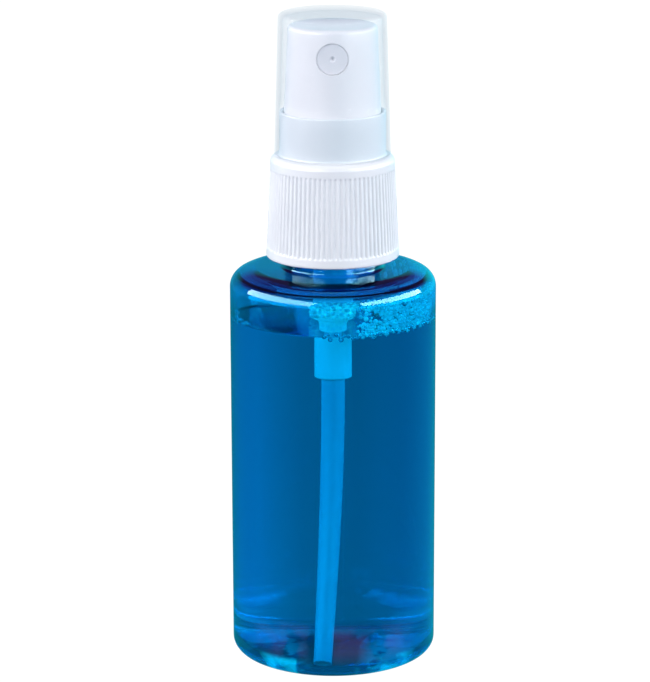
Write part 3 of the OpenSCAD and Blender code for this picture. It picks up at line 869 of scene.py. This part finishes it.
for name, material in {
    "pump_housing": NATURAL_PP,
    "inlet_ball": STEEL,
    "return_spring": STEEL,
    "valve_stem": NATURAL_PP,
    "piston": TUBE_PE,
    "stem": NATURAL_PP,
    "stem_guide": NATURAL_PP,
    "neck_gasket": GASKET_PE,
    "actuator": ACTUATOR_PP,
    "nozzle_insert": NOZZLE_POM,
}.items():
    dress(name, material)


# ---------------------------------------------------------------- stage, light and camera

def make_floor():
    """A plain white floor, seen by the camera only, so that the soft surround lights the bottle
    from below as well."""
    half = 4.0
    paint = bpy.data.materials.new("floor_paint")
    floor = make("floor", [(-half, -half, 0), (half, -half, 0), (half, half, 0), (-half, half, 0)],
                 [(0, 1, 2, 3)], paint, False)
    paint.use_nodes = True
    nt = paint.node_tree
    nt.nodes.clear()
    out = nt.nodes.new("ShaderNodeOutputMaterial")
    path = nt.nodes.new("ShaderNodeLightPath")
    seen = nt.nodes.new("ShaderNodeEmission")
    seen.inputs["Strength"].default_value = WHITE
    through = nt.nodes.new("ShaderNodeBsdfTransparent")
    mix_shaders(nt, out, path.outputs["Is Camera Ray"], through.outputs[0], seen.outputs[0])


def mix_colour(nt, fac, low, high, blend="MIX"):
    """Two colours or sockets blended by a factor."""
    node = nt.nodes.new("ShaderNodeMix")
    node.data_type = "RGBA"
    node.blend_type = blend
    for i, value in ((0, fac), (6, low), (7, high)):
        if isinstance(value, tuple):
            node.inputs[i].default_value = (*value, 1)
        elif isinstance(value, (int, float)):
            node.inputs[i].default_value = value
        else:
            nt.links.new(value, node.inputs[i])
    return node.outputs[2]


# The surround by direction. Turns are degrees from straight behind the bottle towards +X;
# heights are degrees above the horizon; a pair is where a fade starts and where it is full.
# The table's stops hold a turn, a brightness and how green its blue is.
WHITE = 1.05
TABLE = [
    (-180, 0.42, 0.84), (-90, 0.5, 0.66), (-54, 0.49, 0.78), (-39, 0.42, 0.855),
    (-24, 0.34, 0.855), (-15, 0.33, 0.855), (-7, 0.29, 0.855), (0, 0.31, 0.855),
    (9, 0.34, 0.855), (18, 0.46, 0.855), (28, 0.60, 0.82), (47, 0.62, 0.70), (90, 0.5, 0.6),
    (180, 0.42, 0.84),
]
TABLE_RED = 0.02
TABLE_EDGE = (-13.5, -4.0)
NEAR_HEIGHT, NEAR_MORE = (-14, -30), 0.5
BELOW_HEIGHT, BELOW_MORE = (-72, -84), 0.3
BACK, BACK_RIGHT, BACK_TURN = (0.03, 0.54, 0.66), (0.03, 1.3, 1.5), (2, 16)
BACK_EDGE = (14, 24)
DARK, FRONT, FRONT_TURN = (0.10, 0.06, 0.25), (0.10, 0.28, 0.34), (120, 150)
SOFT_BELOW, SOFT_FILL, SOFT_HEIGHT = (0.12, 0.08, 0.20), (0.355, 0.36, 0.40), (-30, -5)


def make_world():
    """White to the camera. In what shines or bends light there is a table in the bottle's own
    tint and a dark room above; matt surfaces get an even soft fill."""
    world = bpy.data.worlds.new("studio")
    world.use_nodes = True
    nt = world.node_tree
    nt.nodes.clear()
    out = nt.nodes.new("ShaderNodeOutputWorld")
    path = nt.nodes.new("ShaderNodeLightPath")
    coord = nt.nodes.new("ShaderNodeTexCoord")
    split = nt.nodes.new("ShaderNodeSeparateXYZ")
    nt.links.new(coord.outputs["Generated"], split.inputs[0])
    x, y, z = split.outputs
    turn = product(nt, math_node(nt, "ARCTAN2", x, y), 180 / math.pi)
    height = product(nt, math_node(nt, "ARCSINE", z), 180 / math.pi)
    table = colour_stops(nt, fade(nt, turn, -180, 180),
                         [((a + 180) / 360, (v * TABLE_RED, v * g, v)) for a, v, g in TABLE])
    for heights, more in ((NEAR_HEIGHT, NEAR_MORE), (BELOW_HEIGHT, BELOW_MORE)):
        brighter = math_node(nt, "ADD", 1.0, product(nt, fade(nt, height, *heights), more))
        table = mix_colour(nt, 1.0, table, brighter, "MULTIPLY")
    back = mix_colour(nt, fade(nt, turn, *BACK_TURN), BACK, BACK_RIGHT)
    room = mix_colour(nt, fade(nt, height, *TABLE_EDGE), table, back)
    aside = math_node(nt, "ABSOLUTE", turn)
    high = mix_colour(nt, fade(nt, aside, *FRONT_TURN), DARK, FRONT)
    room = mix_colour(nt, fade(nt, height, *BACK_EDGE), room, high)
    soft = mix_colour(nt, fade(nt, height, *SOFT_HEIGHT), SOFT_BELOW, SOFT_FILL)
    filled = mix_colour(nt, path.outputs["Is Diffuse Ray"], room, soft)
    seen = mix_colour(nt, path.outputs["Is Camera Ray"], filled, (WHITE, WHITE, WHITE))
    surround = nt.nodes.new("ShaderNodeBackground")
    nt.links.new(seen, surround.inputs["Color"])
    nt.links.new(surround.outputs[0], out.inputs["Surface"])
    bpy.context.scene.world = world


# The lamps and the camera are placed in metres; this is the point that the lamps face.
MIDDLE = Vector((0, 0, 0.07))


def softbox(name, turn, height, distance, width, tall, power, matt=True, gloss=True):
    """A soft rectangular lamp that faces the bottle's middle from a direction in degrees and a
    distance in metres. It may be left out of matt or of glossy surfaces."""
    light = bpy.data.lights.new(name, "AREA")
    light.shape = "RECTANGLE"
    light.size, light.size_y = width, tall
    light.energy = power
    a, e = math.radians(turn), math.radians(height)
    place = MIDDLE + distance * Vector((math.sin(a) * math.cos(e), math.cos(a) * math.cos(e),
                                        math.sin(e)))
    obj = bpy.data.objects.new(name, light)
    obj.location = place
    obj.rotation_euler = (MIDDLE - place).to_track_quat("-Z", "Y").to_euler()
    obj.visible_diffuse = matt
    obj.visible_glossy = obj.visible_transmission = gloss
    bpy.context.scene.collection.objects.link(obj)


CAMERA_PLACE = (0, -0.5364, 0.1994)
CAMERA_TURNS = (("Z", 0.154), ("X", 75.2), ("Z", -0.16))
CAMERA_LENS, CAMERA_SENSOR = 163.2, 36


def make_camera():
    """The viewpoint: half a metre in front, a little above, looking down by 15 degrees. Its turns
    are fitted to the photographed outline."""
    data = bpy.data.cameras.new("camera")
    data.sensor_width = CAMERA_SENSOR
    data.lens = CAMERA_LENS
    cam = bpy.data.objects.new("camera", data)
    place = Matrix.Translation(CAMERA_PLACE)
    for axis, degrees in CAMERA_TURNS:
        place = place @ Matrix.Rotation(math.radians(degrees), 4, axis)
    cam.matrix_world = place
    bpy.context.scene.collection.objects.link(cam)
    bpy.context.scene.camera = cam


make_floor()
make_world()
softbox("softbox_left", -112, 26, 0.7, 1.28, 0.36, 7.5)
softbox("softbox_right", 106, 20, 0.7, 1.2, 0.28, 6.0)
softbox("glint_left", -112, 26, 0.69, 1.26, 0.36, 8.5, matt=False)
softbox("glint_right", 106, 20, 0.69, 1.18, 0.28, 8.0, matt=False)
softbox("back_fill", 0, 35, 0.8, 1.2, 0.6, 3.2, gloss=False)
make_camera()
bpy.context.scene.view_settings.view_transform = "Standard"
